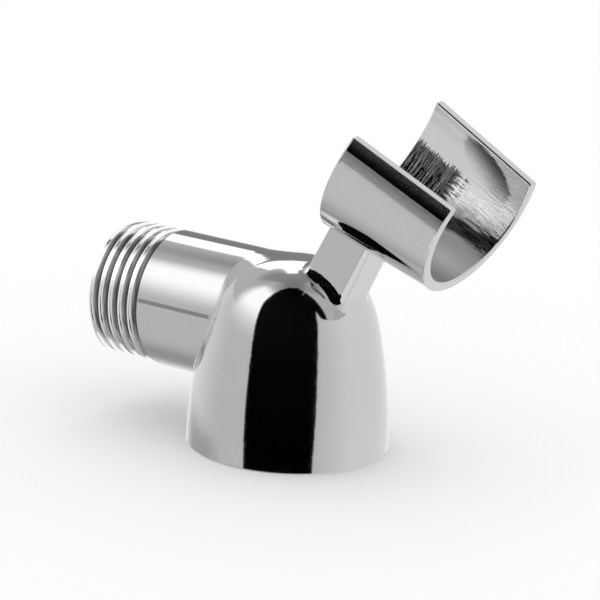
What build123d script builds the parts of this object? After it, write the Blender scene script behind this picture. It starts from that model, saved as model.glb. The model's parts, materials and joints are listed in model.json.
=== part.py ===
"""Hand shower holder: one chrome-plated brass casting.

A bell stands on its rim and is tapped from below. A threaded spigot leaves its side,
and a leaning post on its shoulder carries a conical cradle that is open at the top.
The origin is the centre of the bell's rim, Z is the bell's axis, the spigot points
along -X and the cradle lies on the +X side. Lengths are in millimetres.
"""

import os
from math import ceil, cos, hypot, radians, sin, tan

from build123d import *

# Bell: profile radii and the heights at which they are reached.
BELL_RIM_RADIUS = 15.2
BELL_MID_RADIUS = 13.72
BELL_MID_HEIGHT = 15.0
BELL_SHOULDER_RADIUS = 11.15
BELL_SHOULDER_HEIGHT = 23.6
BELL_HEIGHT = 28.9
BELL_RIM_EDGE = 0.2

# G1/2 pipe thread, shared by the spigot outside and the socket inside.
THREAD_MAJOR_RADIUS = 10.4775
THREAD_PITCH = 1.814
THREAD_DEPTH = 1.162
THREAD_FLANK_ANGLE = 27.5
THREAD_CREST = 0.302

# Spigot: plain tube at the thread's major size, threaded at its free end.
SPIGOT_AXIS_HEIGHT = 18.2
SPIGOT_REACH = 30.75
SPIGOT_THREAD_LENGTH = 9.6
SPIGOT_END_CHAMFER = 0.3

# Blend of spigot and bell: how far it reaches to both sides of their corner. It is tight
# below, and from an angle round the spigot it widens by a power up to the top.
SPIGOT_BLEND_BELOW = 0.35
SPIGOT_BLEND_ABOVE = 4.5
SPIGOT_BLEND_FROM = -20.0
SPIGOT_BLEND_POWER = 2.5
SPIGOT_BLEND_SINK = 0.01

# Waterway: a tapped socket under the bell, a riser and a bore along the spigot.
SOCKET_DEPTH = 12.0
SOCKET_COUNTERSINK = 1.3
RISER_RADIUS = 6.5
SPIGOT_BORE_RADIUS = 7.25
SPIGOT_BORE_OVERRUN = 6.5

# Cradle: conical shell, narrow end low and away from the spigot. The overhang says how far
# out the narrow end would be if it came down the post's lean to the height of the bell.
CRADLE_TILT = 24.8
CRADLE_OVERHANG = 26.225
CRADLE_NARROW_Z = 40.1
CRADLE_NARROW_RADIUS = 10.7
CRADLE_WALL = 1.62
CRADLE_TAPER = 5.6
CRADLE_LENGTH = 19.1
CRADLE_MOUTH_HEIGHT = 4.2
CRADLE_MOUTH_RISE = 1.9
CRADLE_END_LEAN = 2.3
CRADLE_END_SKEW = 5.2
CRADLE_EDGE = 0.3

# Post: rounded bar, square to the cradle's axis and ground flush with its wide end.
POST_FROM_NARROW_END = 12.0
POST_SIDE_WIDTH = 7.2
POST_CORNER = 1.0
POST_CRADLE_BLEND = 0.5
POST_BELL_BLEND = 2.0

# Frame of the cradle: its Z runs from the narrow end to the wide end, its X out of the mouth.
tilt = radians(CRADLE_TILT)
cradle_axis = Vector(-cos(tilt), 0, sin(tilt))
cradle_up = Vector(sin(tilt), 0, cos(tilt))
cradle_out = CRADLE_OVERHANG + (CRADLE_NARROW_Z - BELL_HEIGHT) * tan(tilt)
cradle_plane = Plane(
    origin=(cradle_out, 0, CRADLE_NARROW_Z), x_dir=cradle_up, z_dir=cradle_axis
)
taper = tan(radians(CRADLE_TAPER))
end_slack = 2 * (CRADLE_NARROW_RADIUS + CRADLE_WALL) * tan(
    radians(CRADLE_END_LEAN + CRADLE_END_SKEW)
)
cone_length = CRADLE_LENGTH + 2 * end_slack

with BuildPart() as cone:
    with BuildSketch(cradle_plane):
        Circle(CRADLE_NARROW_RADIUS + CRADLE_WALL)
    extrude(amount=cone_length, taper=-CRADLE_TAPER)

with BuildPart() as cone_bore:
    with BuildSketch(cradle_plane.offset(-CRADLE_LENGTH)):
        Circle(CRADLE_NARROW_RADIUS - CRADLE_LENGTH * taper)
    extrude(amount=cone_length + 2 * CRADLE_LENGTH, taper=-CRADLE_TAPER)

# The wide end is ground slightly out of square, and the mouth rises towards it.
end_plane = Plane(
    origin=cradle_plane.from_local_coords((0, 0, CRADLE_LENGTH)),
    z_dir=cradle_axis
    + cradle_up * tan(radians(CRADLE_END_LEAN))
    - Vector(0, 1, 0) * tan(radians(CRADLE_END_SKEW)),
)
mouth_plane = Plane(
    origin=cradle_plane.from_local_coords((CRADLE_MOUTH_HEIGHT, 0, 0)),
    z_dir=cradle_up - cradle_axis * tan(radians(CRADLE_MOUTH_RISE)),
)

# Arm: the post hangs from the cone down into the bell, then the mouth, the bore and the
# ground end are cut through both.
post_length_width = CRADLE_LENGTH + end_slack - POST_FROM_NARROW_END
post_middle = cradle_plane.from_local_coords((0, 0, POST_FROM_NARROW_END + post_length_width / 2))
post_drop = (post_middle.Z - SPIGOT_AXIS_HEIGHT) / cos(tilt)

with BuildPart() as arm:
    add(cone.part)
    with BuildSketch(Plane(post_middle, x_dir=cradle_axis, z_dir=-cradle_up)):
        RectangleRounded(post_length_width, POST_SIDE_WIDTH, POST_CORNER)
    extrude(amount=post_drop)
    fillet(arm.edges(Select.NEW), radius=POST_CRADLE_BLEND)
    split(bisect_by=mouth_plane, keep=Keep.BOTTOM)
    add(cone_bore.part, mode=Mode.SUBTRACT)
    split(bisect_by=end_plane, keep=Keep.BOTTOM)
    cut_faces = arm.faces().filter_by(GeomType.PLANE).filter_by(
        lambda face: any(
            abs(plane.to_local_coords(face.center()).Z) < CRADLE_EDGE / 10
            for plane in (cradle_plane, end_plane, mouth_plane)
        )
    )
    fillet(cut_faces.edges(), radius=CRADLE_EDGE)

# Threading tool: a helical groove of the pipe thread's form. It starts past the free end,
# at the top, and stops three quarters of a turn later on the +Y side.
thread_root = THREAD_MAJOR_RADIUS - THREAD_DEPTH
flank = tan(radians(THREAD_FLANK_ANGLE))
groove_mouth = THREAD_PITCH - THREAD_CREST
groove_root = groove_mouth - 2 * THREAD_DEPTH * flank
tool_clear = THREAD_CREST / 2
thread_turns = ceil(SPIGOT_THREAD_LENGTH / THREAD_PITCH) + 0.75
groove_length = thread_turns * THREAD_PITCH
spigot_plane = Plane(
    origin=(-SPIGOT_REACH, 0, SPIGOT_AXIS_HEIGHT), x_dir=(0, 1, 0), z_dir=(1, 0, 0)
)
groove_origin = spigot_plane.from_local_coords((0, 0, SPIGOT_THREAD_LENGTH - groove_length))

with BuildPart() as thread_tool:
    with BuildLine() as groove_path:
        Helix(
            THREAD_PITCH,
            groove_length,
            THREAD_MAJOR_RADIUS,
            center=groove_origin,
            direction=spigot_plane.z_dir,
        )
    with BuildSketch(
        Plane(groove_path.line @ 0, x_dir=(0, 0, 1), z_dir=groove_path.line % 0)
    ):
        with BuildLine():
            Polyline(
                (-THREAD_DEPTH, -groove_root / 2),
                (tool_clear, -groove_mouth / 2 - tool_clear * flank),
                (tool_clear, groove_mouth / 2 + tool_clear * flank),
                (-THREAD_DEPTH, groove_root / 2),
                close=True,
            )
        make_face()
    sweep(path=groove_path.line, is_frenet=True)

# Bell's outline, from its rim to the middle of its top.
with BuildLine():
    bell_outline = Spline(
        (BELL_RIM_RADIUS, 0),
        (BELL_MID_RADIUS, BELL_MID_HEIGHT),
        (BELL_SHOULDER_RADIUS, BELL_SHOULDER_HEIGHT),
        (0, BELL_HEIGHT),
        tangents=((0, 1), (-1, 0)),
    )


def last_true(holds, low, high):
    """Return the value between low and high at which a condition stops holding."""
    for _ in range(30):
        middle = (low + high) / 2
        if holds(middle):
            low = middle
        else:
            high = middle
    return low


def in_bell(x, reach, angle):
    """Tell whether the bell holds a point at a reach from the spigot's axis, at an angle round it."""
    height = SPIGOT_AXIS_HEIGHT + reach * sin(angle)
    if height >= BELL_HEIGHT:
        return False
    level = last_true(lambda t: (bell_outline @ t).Y < height, 0, 1)
    return hypot(x, reach * cos(angle)) < (bell_outline @ level).X


def on_bell(corner, distance, angle):
    """Return the bell's point at a distance from the spigot's corner, in the section at an angle."""
    turn = last_true(
        lambda t: in_bell(
            corner + distance * cos(t), THREAD_MAJOR_RADIUS + distance * sin(t), angle
        ),
        0,
        2,
    )
    return Vector(corner + distance * cos(turn), THREAD_MAJOR_RADIUS + distance * sin(turn))


# Blend of spigot and bell: sections through the spigot's axis, lofted from below to the top
# and mirrored. Its edges are sunk a hair so that they cross the surfaces they meet.
with BuildPart() as spigot_blend:
    for turn_degrees in range(-90, 91, 10):
        angle = radians(turn_degrees)
        rise = max(turn_degrees - SPIGOT_BLEND_FROM, 0) / (90 - SPIGOT_BLEND_FROM)
        reach = SPIGOT_BLEND_BELOW
        reach += (SPIGOT_BLEND_ABOVE - SPIGOT_BLEND_BELOW) * rise**SPIGOT_BLEND_POWER
        corner = last_true(
            lambda x: not in_bell(x, THREAD_MAJOR_RADIUS, angle), -BELL_RIM_RADIUS, 0
        )
        bell_ahead = on_bell(corner, 1.05 * reach, angle) - on_bell(corner, 0.95 * reach, angle)
        bell_ahead = bell_ahead.normalized()
        bell_inward = Vector(bell_ahead.Y, -bell_ahead.X)
        bell_point = on_bell(corner, reach, angle) + bell_inward * SPIGOT_BLEND_SINK
        tube_point = Vector(corner - reach, THREAD_MAJOR_RADIUS - SPIGOT_BLEND_SINK)
        root_point = Vector(corner + reach, THREAD_MAJOR_RADIUS - reach)
        section = Plane(
            origin=(0, 0, SPIGOT_AXIS_HEIGHT), x_dir=(1, 0, 0), z_dir=(0, -sin(angle), -cos(angle))
        )
        with BuildSketch(section):
            with BuildLine():
                Spline(tube_point, bell_point, tangents=(Vector(1, 0), bell_ahead))
                Polyline(bell_point, root_point, tube_point)
            make_face()
    loft()
    mirror(about=Plane.XZ)

with BuildPart() as holder_body:
    with BuildSketch(Plane.XZ) as bell_profile:
        with BuildLine():
            add(bell_outline)
            Polyline((0, BELL_HEIGHT), (0, 0), (BELL_RIM_RADIUS, 0))
        make_face()
        fillet(bell_profile.vertices().sort_by(Axis.X)[-1], radius=BELL_RIM_EDGE)
    revolve(axis=Axis.Z)

    # Post and cradle, fused to the bell's shoulder.
    add(arm.part)
    fillet(holder_body.edges(Select.NEW), radius=POST_BELL_BLEND)

    # Spigot, fused and blended to the bell's side.
    with BuildSketch(spigot_plane):
        Circle(THREAD_MAJOR_RADIUS)
    extrude(amount=SPIGOT_REACH)
    add(spigot_blend.part)

    # Waterway.
    with BuildSketch():
        Circle(thread_root)
    extrude(amount=SOCKET_DEPTH, mode=Mode.SUBTRACT)
    with BuildSketch():
        Circle(thread_root + SOCKET_COUNTERSINK)
    extrude(amount=SOCKET_COUNTERSINK, taper=45, mode=Mode.SUBTRACT)
    with BuildSketch(Plane.XY.offset(SOCKET_DEPTH)):
        Circle(RISER_RADIUS)
    extrude(amount=SPIGOT_AXIS_HEIGHT - SOCKET_DEPTH, mode=Mode.SUBTRACT)
    with BuildSketch(spigot_plane):
        Circle(SPIGOT_BORE_RADIUS)
    extrude(amount=SPIGOT_REACH + SPIGOT_BORE_OVERRUN, mode=Mode.SUBTRACT)

    # Lead-in at the spigot's end, then its thread.
    end_rim = holder_body.edges().group_by(Axis.X)[0].sort_by(SortBy.LENGTH)[-1]
    chamfer(end_rim, length=SPIGOT_END_CHAMFER)
    add(thread_tool.part, mode=Mode.SUBTRACT)

holder_body.part.label = "holder_body"
os.makedirs("parts", exist_ok=True)
export_step(holder_body.part, "parts/holder_body.step")
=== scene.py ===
"""Looks of a hand shower holder: one chrome-plated brass casting in a small studio."""

import json
import logging
import math
from collections.abc import Sequence
from dataclasses import dataclass
from enum import Enum
from typing import NamedTuple

import bpy
from mathutils import Matrix, Vector

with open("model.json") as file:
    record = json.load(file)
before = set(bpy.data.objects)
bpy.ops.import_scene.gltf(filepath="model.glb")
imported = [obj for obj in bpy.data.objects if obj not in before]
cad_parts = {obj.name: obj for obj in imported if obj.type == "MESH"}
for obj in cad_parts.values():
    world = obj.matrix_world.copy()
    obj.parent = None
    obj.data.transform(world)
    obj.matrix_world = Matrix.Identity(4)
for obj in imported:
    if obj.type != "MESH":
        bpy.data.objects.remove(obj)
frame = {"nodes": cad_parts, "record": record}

LOG = logging.getLogger("holder")
MM = 0.001
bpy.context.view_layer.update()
WHITE = "#ffffff"

# A Mapping node that gives the place in a frame of its own.
OWN_FRAME = {"vector_type": "TEXTURE"}

# A Mix node for colours, and its sockets.
COLOURS = {"data_type": "RGBA"}
SHARE, FIRST, SECOND, MIXED = 0, 6, 7, 2

# The part of its range from 0 to 1 that noise mostly keeps to.
NOISE_SPAN = (0.3, 0.7)

# A size in millimetres that is so large that a pattern does not change along it.
ENDLESS = 1000.0

# A wave texture of scale 1 repeats at this pitch.
WAVE_PITCH = math.tau / 20


class Finish(Enum):
    """The finishes of the casting, by material slot."""

    POLISHED = 0
    LINISHED = 1
    REAMED = 2
    THREADED = 3
    DRILLED = 4


class Fold(Enum):
    """Ways to make one value of two, by the name of the Math node's operation."""

    SUM = "ADD"
    DIFFERENCE = "SUBTRACT"
    PRODUCT = "MULTIPLY"
    LARGER = "MAXIMUM"


class Step(NamedTuple):
    """A value that is eased from low at the start to high at the end, and held beyond them."""

    value: bpy.types.NodeSocket
    start: float
    end: float
    low: float = 0.0
    high: float = 1.0


def linear(hex_colour: str) -> tuple[float, float, float, float]:
    """Turn an sRGB hex colour into linear light.

    Args:
        hex_colour: six hex digits after a hash sign.

    Returns:
        Linear red, green, blue and an alpha of one.
    """
    parts = [int(hex_colour[i:i + 2], 16) / 255 for i in (1, 3, 5)]
    light = [c / 12.92 if c <= 0.04045 else ((c + 0.055) / 1.055) ** 2.4 for c in parts]
    return (light[0], light[1], light[2], 1.0)


def mount(name: str) -> dict:
    """Return a mount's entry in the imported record."""
    return next(entry for entry in frame["record"]["mounts"] if entry["name"] == name)


def add_node(tree: bpy.types.NodeTree, kind: str, settings: dict | None = None,
             values: dict | None = None, links: dict | None = None) -> bpy.types.Node:
    """Add one shader node.

    Args:
        tree: the node tree that gets it.
        kind: the node's type, without its Shader prefix.
        settings: attributes of the node itself.
        values: input sockets that get a constant.
        links: input sockets and the output sockets that feed them.

    Returns:
        The new node.
    """
    node = tree.nodes.new("ShaderNode" + kind)
    for name, value in (settings or {}).items():
        setattr(node, name, value)
    for socket, value in (values or {}).items():
        node.inputs[socket].default_value = value
    for socket, source in (links or {}).items():
        tree.links.new(source, node.inputs[socket])
    return node


def new_tree(name: str) -> tuple[bpy.types.Material, bpy.types.NodeTree]:
    """Make an empty node material.

    Args:
        name: the material's name.

    Returns:
        The material and its node tree.
    """
    material = bpy.data.materials.new(name)
    material.use_nodes = True
    material.node_tree.nodes.clear()
    return material, material.node_tree


def placed(tree: bpy.types.NodeTree, origin: Sequence[float] = (0.0, 0.0, 0.0),
           turn: float = 0.0) -> bpy.types.NodeSocket:
    """Read the surface's place in millimetres, in a frame of its own.

    Args:
        tree: the node tree that gets the nodes.
        origin: the frame's origin, in millimetres.
        turn: the frame's turn about Y, in degrees.

    Returns:
        The socket with the place.
    """
    read = add_node(tree, "TexCoord")
    return add_node(tree, "Mapping", OWN_FRAME, {
        "Location": Vector(origin) * MM, "Rotation": (0, math.radians(turn), 0), "Scale": (MM, MM, MM)},
        {"Vector": read.outputs["Object"]}).outputs[0]


def speckled(tree: bpy.types.NodeTree, place: bpy.types.NodeSocket, along: float, across: float,
             detail: float, roughness: float = 0.5) -> bpy.types.NodeSocket:
    """Draw noise whose specks have a size in millimetres.

    Args:
        tree: the node tree that gets the nodes.
        place: the socket with the place.
        along: the specks' size along the frame's X axis.
        across: their size the other two ways.
        detail: how many times finer noise is laid over it.
        roughness: how much each finer noise counts.

    Returns:
        The socket with the noise.
    """
    drawn = add_node(tree, "Mapping", OWN_FRAME, {"Scale": (along, across, across)}, {"Vector": place})
    return add_node(tree, "TexNoise", values={
        "Scale": 1.0, "Detail": detail, "Roughness": roughness},
        links={"Vector": drawn.outputs[0]}).outputs["Fac"]


def folded(tree: bpy.types.NodeTree, *terms: Step | bpy.types.NodeSocket,
           fold: Fold = Fold.PRODUCT) -> bpy.types.NodeSocket:
    """Fold values into one, easing those that are steps.

    Args:
        tree: the node tree that gets the nodes.
        terms: steps, or sockets with a value, taken in turn.
        fold: how two values become one.

    Returns:
        The socket with the result.
    """
    result = None
    for term in terms:
        if isinstance(term, Step):
            term = add_node(tree, "MapRange", {"interpolation_type": "SMOOTHSTEP"}, {
                "From Min": term.start, "From Max": term.end, "To Min": term.low, "To Max": term.high},
                {"Value": term.value}).outputs[0]
        if result is not None:
            term = add_node(tree, "Math", {"operation": fold.value}, links={0: result, 1: term}).outputs[0]
        result = term
    return result


def end_in_metal(tree: bpy.types.NodeTree, colour: bpy.types.NodeSocket, roughness: bpy.types.NodeSocket,
                 relief: bpy.types.NodeSocket, depth: float) -> None:
    """Close a tree with a metal's surface.

    Args:
        tree: the node tree that gets the nodes.
        colour: the socket with the metal's colour.
        roughness: the socket with its roughness.
        relief: the socket with its relief.
        depth: the height of a relief of one, in millimetres.
    """
    bump = add_node(tree, "Bump", values={"Distance": depth * MM}, links={"Height": relief})
    shader = add_node(tree, "BsdfPrincipled", values={"Metallic": 1.0}, links={
        "Base Color": colour, "Roughness": roughness, "Normal": bump.outputs[0]})
    add_node(tree, "OutputMaterial", links={"Surface": shader.outputs[0]})


@dataclass(frozen=True)
class Cradle:
    """Place and shape of the conical cradle, in millimetres and degrees."""

    axis: Vector
    middle: Vector
    radius: float = 10.7
    wall: float = 1.62
    taper: float = 5.6
    length: float = 19.1
    mouth_height: float = 4.2
    mouth_rise: float = 1.9
    slack: float = 0.06
    end_slack: tuple[float, float] = (0.5, 2.0)

    @classmethod
    def from_frame(cls) -> "Cradle":
        """Return the cradle where its mount is."""
        seat = mount("cradle")
        return cls(Vector(seat["axis"]).normalized(), Vector(seat["pos_m"]) / MM)

    def tilt(self) -> float:
        """Return the angle at which the axis rises towards the wide end."""
        return math.degrees(math.asin(self.axis.z))

    def narrow(self) -> Vector:
        """Return the middle of the narrow end."""
        return self.middle - self.axis * (self.length / 2)

    def mouth_middle(self) -> Vector:
        """Return the middle of the mouth at the narrow end."""
        return self.narrow() + Vector((self.axis.z, 0, -self.axis.x)) * self.mouth_height

    def finish_at(self, point: Vector) -> Finish:
        """Tell which finish a point of the casting has.

        Args:
            point: the point, in millimetres.

        Returns:
            The bore's or the cone's own finish on their walls, and the polish elsewhere.
        """
        offset = point - self.narrow()
        along = offset.dot(self.axis)
        depth = (offset - self.axis * along).length - self.radius
        depth -= along * math.tan(math.radians(self.taper))
        if not -self.end_slack[0] < along < self.length + self.end_slack[1]:
            return Finish.POLISHED
        if abs(depth) < self.slack:
            return Finish.REAMED
        if abs(depth - self.wall) < self.slack:
            return Finish.LINISHED
        return Finish.POLISHED


@dataclass(frozen=True)
class Spigot:
    """Place and shape of the spigot and of the waterway that leads to it, in millimetres."""

    height: float
    reach: float
    thread_length: float
    thread_radius: float
    socket_radius: float
    socket_depth: float
    thread_depth: float = 1.162
    bore_radius: float = 7.25
    bore_end: float = 7.0
    slack: float = 0.05
    end_slack: float = 0.1

    @classmethod
    def from_frame(cls) -> "Spigot":
        """Return the spigot and the socket where their mounts are."""
        end, socket = mount("hose_spigot"), mount("socket")
        place = Vector(end["pos_m"]) / MM
        thread, hole = end["dims"], socket["dims"]
        depth = socket["pos_m"][2] / MM + hole["length_mm"] / 2
        return cls(place.z, -place.x, thread["length_mm"], thread["r_mm"], hole["r_mm"], depth)

    def finish_at(self, point: Vector) -> Finish | None:
        """Tell which finish of its own a point of the casting has here.

        Args:
            point: the point, in millimetres.

        Returns:
            The thread's or the waterway's finish, and nothing elsewhere.
        """
        off_axis = math.hypot(point.y, point.z - self.height)
        in_bore = off_axis < self.bore_radius + self.slack and point.x < self.bore_end
        off_socket = math.hypot(point.x, point.y) - self.socket_radius
        in_socket = off_socket < self.slack and point.z < self.socket_depth + self.end_slack
        if in_bore or in_socket:
            return Finish.DRILLED
        past_root = off_axis > self.thread_radius - self.thread_depth - self.slack
        if past_root and point.x < self.thread_length - self.reach + self.end_slack:
            return Finish.THREADED
        return None


@dataclass(frozen=True)
class PolishedChromePlate:
    """Bright chromium plate on buffed brass: a mirror with the buffing mop's faint waves.

    A darker grey line runs along the spigot at one height. Lengths are in millimetres. The polish's
    own grain is too fine to show, so it is drawn coarser.
    """

    colours: tuple[str, str] = ("#c2c3c3", "#c6c7c7")
    roughness: tuple[float, float] = (0.06, 0.09)
    wave_size: float = 9.0
    wave_height: float = 0.012
    grain_size: float = 0.3
    line: str = "#8e8f8f"
    line_height: float = 20.0
    line_width: float = 0.8
    line_ends: tuple[float, float] = (-21.1, -7.6)
    line_fades: tuple[float, float] = (0.2, 0.8)

    def material(self) -> bpy.types.Material:
        """Return the mirror-bright material."""
        material, tree = new_tree("chrome_plate_polished")
        place = placed(tree)
        part = add_node(tree, "SeparateXYZ", links={0: place}).outputs
        above = add_node(tree, "Math", {"operation": "SUBTRACT"}, {1: self.line_height}, {0: part["Z"]})
        off_line = add_node(tree, "Math", {"operation": "ABSOLUTE"}, links={0: above.outputs[0]})
        at_thread, at_bell = self.line_ends
        line = folded(tree, Step(off_line.outputs[0], self.line_width / 2, self.line_width / 4),
                      Step(part["X"], at_thread - self.line_fades[0], at_thread),
                      Step(part["X"], at_bell, at_bell - self.line_fades[1]))
        waves = speckled(tree, place, self.wave_size, self.wave_size, detail=1.0)
        grain = speckled(tree, place, self.grain_size, self.grain_size, detail=2.0)
        tint = add_node(tree, "Mix", COLOURS, {
            FIRST: linear(self.colours[0]), SECOND: linear(self.colours[1])}, {SHARE: waves})
        lined = add_node(tree, "Mix", COLOURS, {SECOND: linear(self.line)}, {
            SHARE: line, FIRST: tint.outputs[MIXED]})
        rough = folded(tree, Step(grain, *NOISE_SPAN, *self.roughness))
        end_in_metal(tree, lined.outputs[MIXED], rough, waves, self.wave_height)
        return material


@dataclass(frozen=True)
class LinishedChromePlate:
    """Chromium plate on belt-ground brass: grainy, hazy at the mouth's edge, with a dull line below.

    Depths are in millimetres below the mouth, each with its roughness. The belt's grit is too fine to
    show, so its grain is drawn coarser.
    """

    colours: tuple[str, str] = ("#c8c9c9", "#d2d3d3")
    edge: tuple[float, float] = (0.24, 0.08)
    edge_depth: float = 1.8
    line: float = 0.34
    line_depths: tuple[float, float] = (1.85, 3.1)
    line_blurs: tuple[float, float] = (0.12, 0.5)
    field: tuple[float, float] = (0.12, 0.04)
    field_depths: tuple[float, float] = (9.0, 13.0)
    grain_size: float = 0.22
    grain_height: float = 0.0005
    spot_span: tuple[float, float] = (0.35, 0.65)
    spot_change: tuple[float, float] = (0.85, 1.15)

    def material(self, cradle: Cradle) -> bpy.types.Material:
        """Return the grainy material.

        Args:
            cradle: the cradle that wears it.

        Returns:
            The material.
        """
        material, tree = new_tree("chrome_plate_linished")
        place = placed(tree, cradle.mouth_middle(), cradle.tilt() + cradle.mouth_rise)
        height = add_node(tree, "SeparateXYZ", links={0: place}).outputs["Z"]
        grain = speckled(tree, place, self.grain_size, self.grain_size, detail=3.0)
        top, bottom = self.line_depths
        shallow, deep = self.field_depths
        hazy = folded(tree, Step(height, 0.0, -self.edge_depth, *self.edge),
                      Step(height, -top, -top - self.line_blurs[0], 0.0, self.line), fold=Fold.LARGER)
        clear = folded(
            tree, Step(height, -bottom, -bottom - self.line_blurs[1], 0.0, self.line - self.field[0]),
            Step(height, -shallow, -deep, 0.0, self.field[0] - self.field[1]), fold=Fold.SUM)
        even = folded(tree, hazy, clear, fold=Fold.DIFFERENCE)
        rough = folded(tree, even, Step(grain, *self.spot_span, *self.spot_change))
        tint = add_node(tree, "Mix", COLOURS, {
            FIRST: linear(self.colours[0]), SECOND: linear(self.colours[1])}, {SHARE: grain})
        end_in_metal(tree, tint.outputs[MIXED], rough, grain, self.grain_height)
        return material


@dataclass(frozen=True)
class ReamedChromePlate:
    """Chromium plate on reamed brass: streaks along the bore, chatter marks at its wide end.

    Dark reflections are painted in a long patch high on the wall, in a band low on it and faintly over
    the chatter. These marks and the chatter are on the +Y wall. Lengths are in millimetres in the
    cradle's own frame, whose origin is the middle of the narrow end and whose X axis points away from
    the wide end. Streaks and chatter are drawn coarser than a reamer's own, which are too fine to show.
    """

    bright: str = "#dcdddd"
    # The colour of the painted dark reflections in the bore.
    painted_reflection_colour: str = "#505151"
    roughness: tuple[float, float] = (0.1, 0.24)
    dull_low: tuple[float, float] = (-7.8, -8.8)
    dull: float = 0.24
    wall: tuple[float, float] = (0.0, 4.0)
    streak: tuple[float, float] = (7.0, 0.33)
    streak_span: tuple[float, float] = (0.2, 0.8)
    streak_height: float = 0.03
    streak_from: tuple[float, float] = (13.0, 9.0)
    streak_low: tuple[float, float] = (-6.8, -4.6)
    streak_least: float = 0.15
    scrape: tuple[float, float] = (0.3, 3.0)
    scrape_span: tuple[float, float] = (0.4, 0.7)
    scrape_height: float = 0.03
    chatter_pitch: float = 2.6
    chatter_height: float = 0.23
    chatter_from: tuple[float, float] = (9.8, 12.5)
    chatter_low: tuple[float, float] = (-7.3, -6.4)
    chatter_high: tuple[float, float] = (-1.6, -2.6)
    chatter_frays: tuple[float, float] = (1.5, 0.35)
    # How far the chatter marks are darkened: a painted dark reflection.
    chatter_painted_reflection: float = 0.88
    # The oval patch of painted dark reflection high on the wall.
    patch_middle: tuple[float, float, float] = (-7.8, 0.0, 1.2)
    patch_half: tuple[float, float] = (5.9, 2.5)
    patch_turn: float = 17.9
    patch_edge: tuple[float, float] = (1.0, 0.85)
    patch_fray: tuple[float, float] = (-0.1, 0.06)
    patch_side: tuple[float, float] = (-1.0, 0.9)
    # The band of painted dark reflection low on the wall.
    band: float = 0.95
    band_fall: float = 0.19
    band_low: tuple[float, float] = (-7.3, -7.0)
    band_high: tuple[float, float] = (-5.4, -5.7)
    band_fray: float = 0.25

    def patch(self, tree: bpy.types.NodeTree, place: bpy.types.NodeSocket, far: bpy.types.NodeSocket,
              streaks: bpy.types.NodeSocket) -> bpy.types.NodeSocket:
        """Draw the painted dark reflection, an oval patch with a frayed edge that fades on its lower side.

        Args:
            tree: the node tree that gets the nodes.
            place: the socket with the place.
            far: the socket that is one on the marked wall.
            streaks: the socket with the streaks, which fray the edge.

        Returns:
            The socket that is one in the patch.
        """
        across = add_node(tree, "Mapping", OWN_FRAME, {
            "Location": self.patch_middle, "Rotation": (0, math.radians(self.patch_turn), 0),
            "Scale": (self.patch_half[0], ENDLESS, self.patch_half[1])}, {"Vector": place}).outputs[0]
        reach = add_node(tree, "VectorMath", {"operation": "LENGTH"}, links={0: across}).outputs["Value"]
        side = add_node(tree, "SeparateXYZ", links={0: across}).outputs["Z"]
        frayed = folded(tree, reach, Step(streaks, *NOISE_SPAN, *self.patch_fray), fold=Fold.SUM)
        return folded(tree, far, Step(frayed, *self.patch_edge), Step(side, *self.patch_side))

    def material(self, cradle: Cradle) -> bpy.types.Material:
        """Return the dull, streaky material.

        Args:
            cradle: the cradle that wears it.

        Returns:
            The material.
        """
        material, tree = new_tree("chrome_plate_reamed")
        place = placed(tree, cradle.narrow(), cradle.tilt())
        part = add_node(tree, "SeparateXYZ", links={0: place}).outputs
        streaks = speckled(tree, place, *self.streak, detail=3.0, roughness=0.6)
        chatter = add_node(tree, "TexWave", {"wave_profile": "SAW"}, {
            "Scale": WAVE_PITCH / self.chatter_pitch, "Distortion": 3.0, "Detail": 3.0,
            "Detail Scale": 1.6}, {"Vector": place}).outputs["Fac"]
        scrapes = speckled(tree, place, *self.scrape, detail=2.0)
        far = folded(tree, Step(part["Y"], *self.wall))
        fray_along, fray_up = self.chatter_frays
        reached = folded(tree, part["X"], Step(streaks, *NOISE_SPAN, -fray_along, fray_along),
                         fold=Fold.SUM)
        raised = folded(tree, part["Z"], Step(scrapes, *NOISE_SPAN, -fray_up, fray_up), fold=Fold.SUM)
        zone = folded(tree, far, Step(reached, -self.chatter_from[0], -self.chatter_from[1]),
                      Step(part["Z"], *self.chatter_low), Step(raised, *self.chatter_high))
        # A painted dark reflection in an oval patch high on the wall.
        dark_reflection_patch = self.patch(tree, place, far, streaks)
        # A painted dark reflection in a band low on the wall.
        lifted = folded(tree, part["Z"], Step(streaks, *NOISE_SPAN, -self.band_fray, self.band_fray),
                        fold=Fold.SUM)
        fall = add_node(tree, "Math", {"operation": "MULTIPLY_ADD"}, {1: -self.band_fall},
                        {0: part["X"], 2: lifted}).outputs[0]
        band = folded(tree, far, Step(fall, *self.band_low, 0.0, self.band), Step(fall, *self.band_high))
        # All painted dark reflections: the patch, the band and, fainter, the chatter.
        painted_reflections = folded(tree, dark_reflection_patch, band, Step(zone, 0.0, 1.0, 0.0, self.chatter_painted_reflection), fold=Fold.LARGER)
        tint = add_node(tree, "Mix", COLOURS, {
            FIRST: linear(self.bright), SECOND: linear(self.painted_reflection_colour)}, {SHARE: painted_reflections})
        drag = folded(tree, Step(streaks, *self.streak_span, 0.0, self.streak_height),
                      Step(part["X"], -self.streak_from[0], -self.streak_from[1], self.streak_least, 1.0),
                      Step(part["Z"], *self.streak_low, self.streak_least, 1.0))
        torn = folded(tree, Step(chatter, 0.0, 1.0, self.chatter_height, 0.0),
                      Step(scrapes, *self.scrape_span, 0.0, self.scrape_height), fold=Fold.SUM)
        # The heights of the streaks and of the chatter are in millimetres already.
        relief = folded(tree, drag, folded(tree, zone, torn), fold=Fold.SUM)
        rough = folded(tree, Step(streaks, *NOISE_SPAN, *self.roughness),
                       Step(part["Z"], *self.dull_low, 0.0, self.dull), fold=Fold.SUM)
        end_in_metal(tree, tint.outputs[MIXED], rough, relief, depth=1.0)
        return material


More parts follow.
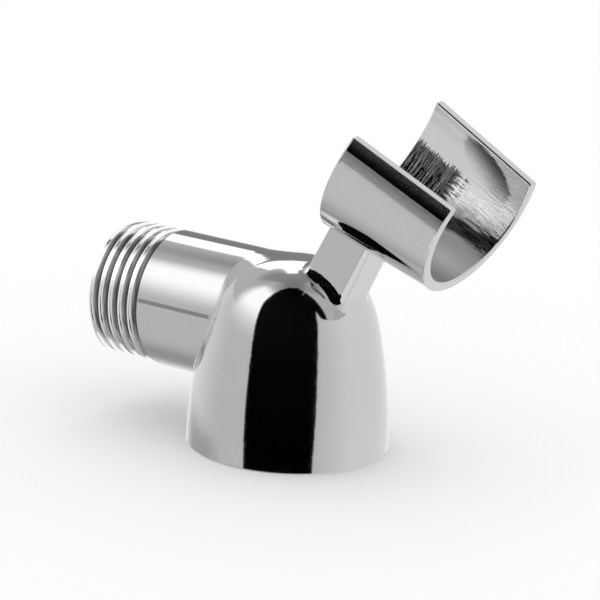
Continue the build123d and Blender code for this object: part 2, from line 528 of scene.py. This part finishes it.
@dataclass(frozen=True)
class ThreadedChromePlate:
    """Chromium plate on a cut thread: painted shade in roots, fine turning lines, painted crest
    highlights.

    Lengths are in millimetres. A real tool's lines are too fine to show, so they are drawn coarser.
    """

    # Colour of the painted shade in the roots, and of the turning lines.
    root: str = "#8e8f8f"
    flank: str = "#c8c9c9"
    # Colour of the painted highlight on the crests.
    painted_crest_highlight: str = "#f6f7f7"
    root_radii: tuple[float, float] = (9.4, 10.0)
    crest_radii: tuple[float, float] = (10.05, 10.2)
    line: tuple[float, float] = (0.12, 4.0)
    line_span: tuple[float, float] = (0.4, 0.55)
    line_height: float = 0.008
    roughness: tuple[float, float] = (0.07, 0.2)

    def material(self, spigot: Spigot) -> bpy.types.Material:
        """Return the turned material.

        Args:
            spigot: the spigot that wears it.

        Returns:
            The material.
        """
        material, tree = new_tree("chrome_plate_threaded")
        place = placed(tree, (0.0, 0.0, spigot.height))
        flat = add_node(tree, "VectorMath", {"operation": "MULTIPLY"}, {1: (0, 1, 1)}, {0: place})
        radius = add_node(tree, "VectorMath", {"operation": "LENGTH"},
                          links={0: flat.outputs[0]}).outputs["Value"]
        lines = speckled(tree, place, *self.line, detail=2.0)
        # Painted shade in the roots, and darker turning lines.
        clear_of_root_shade_and_lines = folded(tree, Step(radius, *self.root_radii), Step(lines, *self.line_span))
        # A painted highlight on the crests.
        crest_highlight_share = folded(tree, Step(radius, *self.crest_radii))
        tint = add_node(tree, "Mix", COLOURS, {
            FIRST: linear(self.root), SECOND: linear(self.flank)}, {SHARE: clear_of_root_shade_and_lines})
        highlighted = add_node(tree, "Mix", COLOURS, {SECOND: linear(self.painted_crest_highlight)}, {
            SHARE: crest_highlight_share, FIRST: tint.outputs[MIXED]})
        rough = folded(tree, Step(lines, *NOISE_SPAN, *self.roughness))
        end_in_metal(tree, highlighted.outputs[MIXED], rough, lines, self.line_height)
        return material


@dataclass(frozen=True)
class DrilledChromePlate:
    """Thin plate in the drilled waterway: dull grey, with the drill's uneven marks.

    Lengths are in millimetres. The marks are drawn coarser than real ones, so that they show.
    """

    colours: tuple[str, str] = ("#a2a3a2", "#bbbcbb")
    roughness: tuple[float, float] = (0.32, 0.48)
    mark_size: float = 0.6
    mark_height: float = 0.02

    def material(self) -> bpy.types.Material:
        """Return the dull material."""
        material, tree = new_tree("chrome_plate_drilled")
        marks = speckled(tree, placed(tree), self.mark_size, self.mark_size, detail=3.0)
        tint = add_node(tree, "Mix", COLOURS, {
            FIRST: linear(self.colours[0]), SECOND: linear(self.colours[1])}, {SHARE: marks})
        rough = folded(tree, Step(marks, *NOISE_SPAN, *self.roughness))
        end_in_metal(tree, tint.outputs[MIXED], rough, marks, self.mark_height)
        return material


@dataclass(frozen=True)
class HolderBody:
    """The casting: polished outside, with the cradle, the thread and the waterway less so."""

    cradle: Cradle
    spigot: Spigot
    node: str = "holder_body"

    def build(self) -> bpy.types.Object:
        """Return the casting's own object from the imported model."""
        return frame["nodes"][self.node]

    def dress(self, body: bpy.types.Object) -> dict[str, int]:
        """Give each face its finish.

        Args:
            body: the casting's object.

        Returns:
            The number of faces of each finish.
        """
        materials = {
            Finish.POLISHED: PolishedChromePlate().material(),
            Finish.LINISHED: LinishedChromePlate().material(self.cradle),
            Finish.REAMED: ReamedChromePlate().material(self.cradle),
            Finish.THREADED: ThreadedChromePlate().material(self.spigot),
            Finish.DRILLED: DrilledChromePlate().material(),
        }
        mesh = body.data
        mesh.materials.clear()
        for finish in Finish:
            mesh.materials.append(materials[finish])
        counts = {finish.name.lower(): 0 for finish in Finish}
        for polygon in mesh.polygons:
            corners = [mesh.vertices[i].co / MM for i in polygon.vertices]
            found = {self.spigot.finish_at(corner) or self.cradle.finish_at(corner) for corner in corners}
            finish = found.pop() if len(found) == 1 else Finish.POLISHED
            polygon.material_index = finish.value
            counts[finish.name.lower()] += 1
        return counts


def smooth(width: float, inside: float) -> float:
    """Ease from 0 at an edge to 1 at some way inside it.

    Args:
        width: how far inside the edge the result reaches 1, or 0 for a sharp edge.
        inside: how far inside the edge the place is, below 0 outside it.

    Returns:
        The eased share, from 0 to 1.
    """
    if width == 0:
        return float(inside >= 0)
    share = min(max(inside / width, 0.0), 1.0)
    return share * share * (3 - 2 * share)


def toward(azimuth: float, elevation: float) -> Vector:
    """Return the direction at an azimuth, 0 on the -Y side and 90 on the +X side, in degrees."""
    a, e = math.radians(azimuth), math.radians(elevation)
    return Vector((math.sin(a) * math.cos(e), -math.cos(a) * math.cos(e), math.sin(e)))


def glowing_sheet(name: str, rows: list[list[tuple[Vector, float]]]) -> bpy.types.Object:
    """Make a sheet that only reflections see.

    Args:
        name: the sheet's name.
        rows: its points, row by row, each with its own light level.

    Returns:
        The sheet's object.
    """
    width = len(rows[0])
    points = [point for row in rows for point, _ in row]
    faces = [(k, k + 1, k + width + 1, k + width)
             for j in range(len(rows) - 1) for k in range(j * width, (j + 1) * width - 1)]
    mesh = bpy.data.meshes.new(name)
    mesh.from_pydata(points, [], faces)
    tone = mesh.attributes.new("tone", "FLOAT", "POINT")
    tone.data.foreach_set("value", [level for row in rows for _, level in row])
    material, tree = new_tree(name)
    read = add_node(tree, "Attribute", {"attribute_name": "tone"})
    glow = add_node(tree, "Emission", links={"Strength": read.outputs["Fac"]})
    add_node(tree, "OutputMaterial", links={"Surface": glow.outputs[0]})
    mesh.materials.append(material)
    sheet = bpy.data.objects.new(name, mesh)
    sheet.visible_camera = False
    sheet.visible_diffuse = False
    sheet.visible_shadow = False
    sheet.visible_transmission = False
    bpy.context.scene.collection.objects.link(sheet)
    return sheet


@dataclass(frozen=True)
class Panel:
    """A soft-edged patch of the tent with its own light level.

    Angles are in degrees. The feather is the width of the soft edge at the sides, below and above.
    """

    azimuth: tuple[float, float]
    elevation: tuple[float, float]
    level: float
    feather: tuple[float, float, float]

    def share(self, azimuth: float, elevation: float) -> float:
        """Tell how much of the panel shows in a direction.

        Args:
            azimuth: the direction's azimuth, in the tent's own degrees.
            elevation: its elevation in degrees.

        Returns:
            The share, from 0 to 1.
        """
        middle = (self.azimuth[0] + self.azimuth[1]) / 2
        turn = (azimuth - middle + 180) % 360 - 180 + middle
        sides, below, above = self.feather
        return (smooth(sides, min(turn - self.azimuth[0], self.azimuth[1] - turn))
                * smooth(below, elevation - self.elevation[0])
                * smooth(above, self.elevation[1] - elevation))


@dataclass(frozen=True)
class Opening:
    """The tent's open side, which widens towards the top. Angles are in degrees."""

    elevation: tuple[float, float] = (-23.0, 86.0)
    left: tuple[float, float] = (-48.0, -64.0)
    right: tuple[float, float] = (28.5, 45.0)
    steps: int = 40
    inset: float = 0.97

    def direction(self, across: float, up: float) -> tuple[float, float]:
        """Find a place on the open side.

        Args:
            across: how far it is from the left edge to the right one, from 0 to 1.
            up: how far it is from the bottom to the top, from 0 to 1.

        Returns:
            Its azimuth, in the tent's own degrees, and its elevation.
        """
        left = self.left[0] + (self.left[1] - self.left[0]) * up
        right = self.right[0] + (self.right[1] - self.right[0]) * up
        low, high = self.elevation
        return left + (right - left) * across, low + (high - low) * up


@dataclass(frozen=True)
class Studio:
    """White tent on a pale floor, open on the camera's side, which chrome shows as a black strip.

    Azimuths of the tent's parts are in degrees from its front, below 0 on the picture's left. The
    tent's centre is in millimetres, and its reach and the floor's half width are in metres.
    """

    level: float = 1.0
    tent_level: float = 1.03
    front: float = 34.16
    centre: tuple[float, float, float] = (0.0, 0.0, 20.0)
    reach: float = 0.9
    floor_half: float = 3.0
    opening: Opening = Opening()
    panels: tuple[Panel, ...] = (
        # The camera's half, a little dimmer.
        Panel((-140, 85), (-90, 90), 0.79, (60, 0, 0)),
        # Dim low on the left, and a soft band above it.
        Panel((-190, -75), (-90, -25), 0.48, (50, 0, 28)),
        Panel((-165, -72), (-27, -13), 0.56, (34, 5, 5)),
        # Dim high on the left, darker behind, and dark overhead.
        Panel((-172, -60), (20.5, 70), 0.72, (10, 3, 6)),
        Panel((-235, -112), (44, 90), 0.41, (26, 15, 0)),
        Panel((-180, 180), (60, 90), 0.31, (0, 26, 0)),
        # A bright soft box on the left.
        Panel((-113, 0), (6, 71), 1.75, (24, 32, 14)),
        # Two bright strips behind, over a dark one.
        Panel((-200, -158), (26.5, 46), 2.0, (2.5, 2.0, 2.0)),
        Panel((-200, -168), (40, 60), 2.0, (6.0, 2.0, 4.0)),
        Panel((-206, -160), (0, 27), 0.31, (5.0, 1.5, 1.5)),
        # A bright patch below the camera.
        Panel((-60, 60), (-78, -24), 1.15, (25, 10, 6)),
    )

    def tone(self, azimuth: float, elevation: float) -> float:
        """Work out the tent's light level in a direction.

        Args:
            azimuth: the direction's azimuth, in the tent's own degrees.
            elevation: its elevation in degrees.

        Returns:
            The level, with each panel laid over those before it.
        """
        level = self.tent_level
        for panel in self.panels:
            level += (panel.level - level) * panel.share(azimuth, elevation)
        return level

    def point(self, azimuth: float, elevation: float, share: float = 1.0) -> Vector:
        """Return the point in a direction at a share of the tent's reach, in metres."""
        return Vector(self.centre) * MM + toward(azimuth + self.front, elevation) * self.reach * share

    def build_world(self) -> None:
        """Light the scene evenly from all round."""
        world = bpy.data.worlds.new("tent_light")
        bpy.context.scene.world = world
        world.use_nodes = True
        world.node_tree.nodes.clear()
        glow = add_node(world.node_tree, "Background", values={
            "Color": linear(WHITE), "Strength": self.level})
        add_node(world.node_tree, "OutputWorld", links={"Surface": glow.outputs[0]})

    def build_floor(self) -> bpy.types.Object:
        """Return the floor of white paper, which takes the shadow and is not seen in the chrome."""
        half = self.floor_half
        mesh = bpy.data.meshes.new("floor")
        mesh.from_pydata([(-half, -half, 0), (half, -half, 0), (half, half, 0), (-half, half, 0)],
                         [], [(0, 1, 2, 3)])
        material, tree = new_tree("floor_paper")
        shader = add_node(tree, "BsdfDiffuse", values={"Color": linear(WHITE)})
        add_node(tree, "OutputMaterial", links={"Surface": shader.outputs[0]})
        mesh.materials.append(material)
        floor = bpy.data.objects.new("floor", mesh)
        floor.visible_glossy = False
        bpy.context.scene.collection.objects.link(floor)
        return floor

    def build_tent(self) -> bpy.types.Object:
        """Return the tent, a sphere in steps of a degree with the panels' light levels."""
        return glowing_sheet("tent", [
            [(self.point(azimuth, elevation), self.tone(azimuth, elevation))
             for azimuth in range(-180, 181)]
            for elevation in range(-90, 91)])

    def build_opening(self) -> bpy.types.Object:
        """Return the tent's open side, a black sheet just inside it."""
        steps = self.opening.steps
        return glowing_sheet("tent_opening", [
            [(self.point(*self.opening.direction(i / steps, j / steps), self.opening.inset), 0.0)
             for i in range(steps + 1)]
            for j in range(steps + 1)])

    def build(self) -> None:
        """Make the light, the floor and the tent."""
        self.build_world()
        for part in (self.build_floor(), self.build_tent(), self.build_opening()):
            LOG.info("stage: %s", part.name)


@dataclass(frozen=True)
class PhotoCamera:
    """Camera at the photograph's viewing angle. Lengths are in millimetres, angles in degrees."""

    azimuth: float = 34.04731
    elevation: float = 15.67794
    roll: float = 2.91554
    target: tuple[float, float, float] = (-2.5239, 5.2731, 20.6013)
    distance: float = 450.0
    lens: float = 179.66
    sensor: float = 36.0
    clip: float = 10.0

    def build(self) -> bpy.types.Object:
        """Return the camera, set as the scene's own."""
        data = bpy.data.cameras.new("camera")
        data.sensor_width = self.sensor
        data.lens = self.lens
        data.clip_start = self.clip * MM
        camera = bpy.data.objects.new("camera", data)
        place = Vector(self.target) + toward(self.azimuth, self.elevation) * self.distance
        camera.matrix_world = (Matrix.Translation(place * MM)
                               @ Matrix.Rotation(math.radians(self.azimuth), 4, "Z")
                               @ Matrix.Rotation(math.radians(90 - self.elevation), 4, "X")
                               @ Matrix.Rotation(math.radians(self.roll), 4, "Z"))
        bpy.context.scene.collection.objects.link(camera)
        bpy.context.scene.camera = camera
        return camera


def main() -> None:
    """Build the camera, the studio and the casting, in that order."""
    logging.basicConfig(level=logging.INFO, format="%(name)s: %(message)s")
    scene = bpy.context.scene
    scene.view_settings.view_transform = "Standard"
    PhotoCamera().build()
    Studio().build()
    holder = HolderBody(Cradle.from_frame(), Spigot.from_frame())
    body = holder.build()
    LOG.info("piece: %s, faces by finish %s", body.name, holder.dress(body))


if __name__ == "__main__":
    main()
